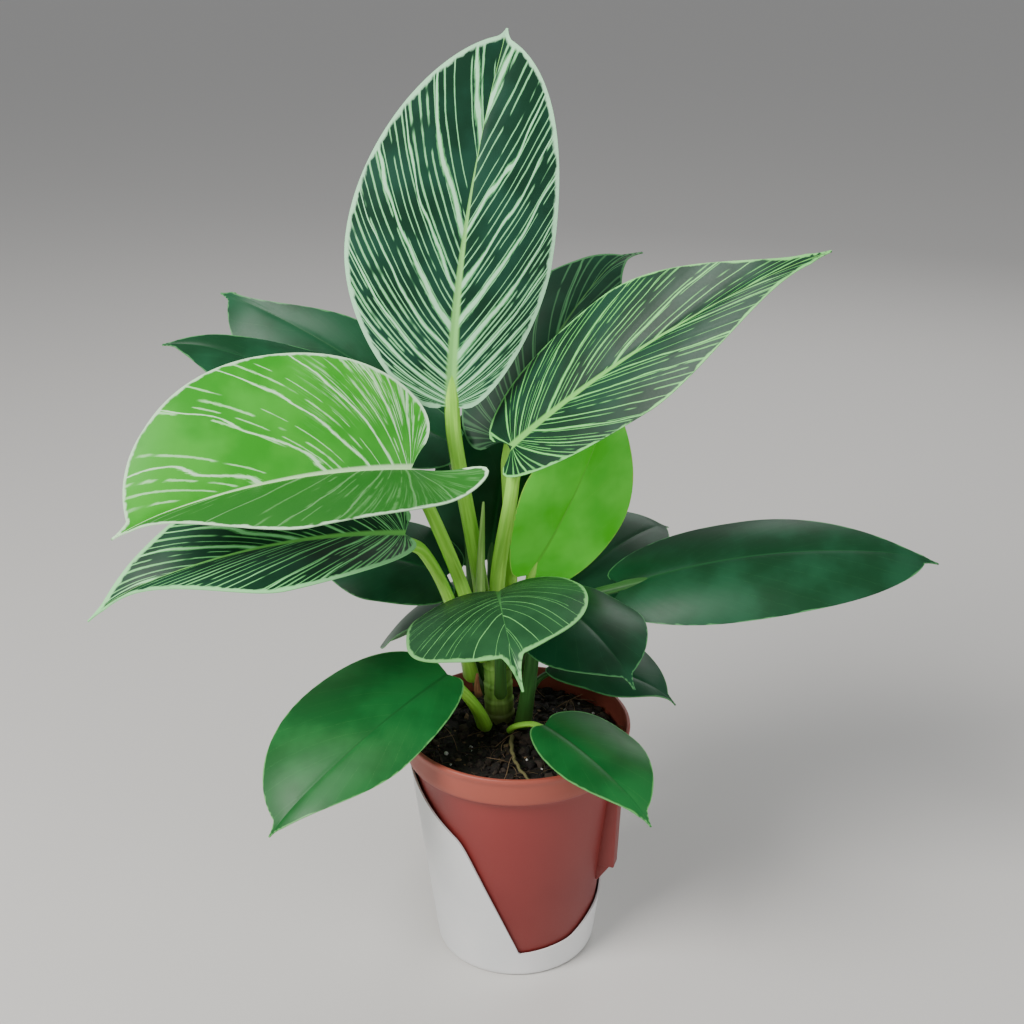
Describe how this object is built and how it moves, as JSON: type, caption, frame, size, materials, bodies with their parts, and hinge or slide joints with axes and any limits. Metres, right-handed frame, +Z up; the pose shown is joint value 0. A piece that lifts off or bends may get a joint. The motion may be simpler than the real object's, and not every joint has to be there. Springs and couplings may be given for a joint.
{
  "type": "potted philodendron",
  "caption": "Leafy houseplant with cream-striped and plain green heart-shaped leaves in a terracotta-coloured plastic nursery pot inside a white cut-away sleeve.",
  "frame": {"origin": "centre of the sleeve's flat underside, on the floor", "axes": "+Z up along the pot's axis; -Y is the plant's front"},
  "size_m": [0.3802, 0.1942, 0.4364],
  "materials": {
    "terracotta": "satin",
    "white_sleeve": "satin",
    "soil": "matte",
    "stalk": "satin",
    "striped_blade": "satin",
    "bright_blade": "satin",
    "dark_blade": "satin",
    "lime_blade": "satin",
    "young_blade": "satin",
    "sheath": "satin",
    "dry_sheath": "matte",
    "root": "matte"
  },
  "bodies": {
    "root": {"nursery_pot": "terracotta", "white_sleeve": "white_sleeve", "potting_soil": "soil", "stem": "stalk", "crown_blade": "striped_blade", "crown_stalk": "stalk", "upper_right_blade": "striped_blade", "upper_right_stalk": "stalk", "upper_back_blade": "striped_blade", "upper_back_stalk": "stalk", "bright_left_blade": "bright_blade", "bright_left_stalk": "stalk", "striped_left_blade": "striped_blade", "striped_left_stalk": "stalk", "dark_upper_left_blade": "dark_blade", "dark_upper_left_stalk": "stalk", "dark_left_blade": "dark_blade", "dark_left_stalk": "stalk", "lime_right_blade": "lime_blade", "lime_right_stalk": "stalk", "dark_right_blade": "dark_blade", "dark_right_stalk": "stalk", "front_right_blade": "dark_blade", "front_right_stalk": "stalk", "front_heart_blade": "striped_blade", "front_heart_stalk": "stalk", "low_left_blade": "young_blade", "low_left_stalk": "stalk", "low_right_blade": "young_blade", "low_right_stalk": "stalk", "small_right_blade": "dark_blade", "small_right_stalk": "stalk", "mid_left_blade": "dark_blade", "mid_left_stalk": "stalk", "drooping_left_blade": "dark_blade", "drooping_left_stalk": "stalk", "mid_right_blade": "dark_blade", "mid_right_stalk": "stalk", "back_centre_blade": "dark_blade", "back_centre_stalk": "stalk", "green_sheath": "sheath", "dry_sheath": "dry_sheath", "long_root": "root", "short_root": "root"}
  },
  "joints": []
}
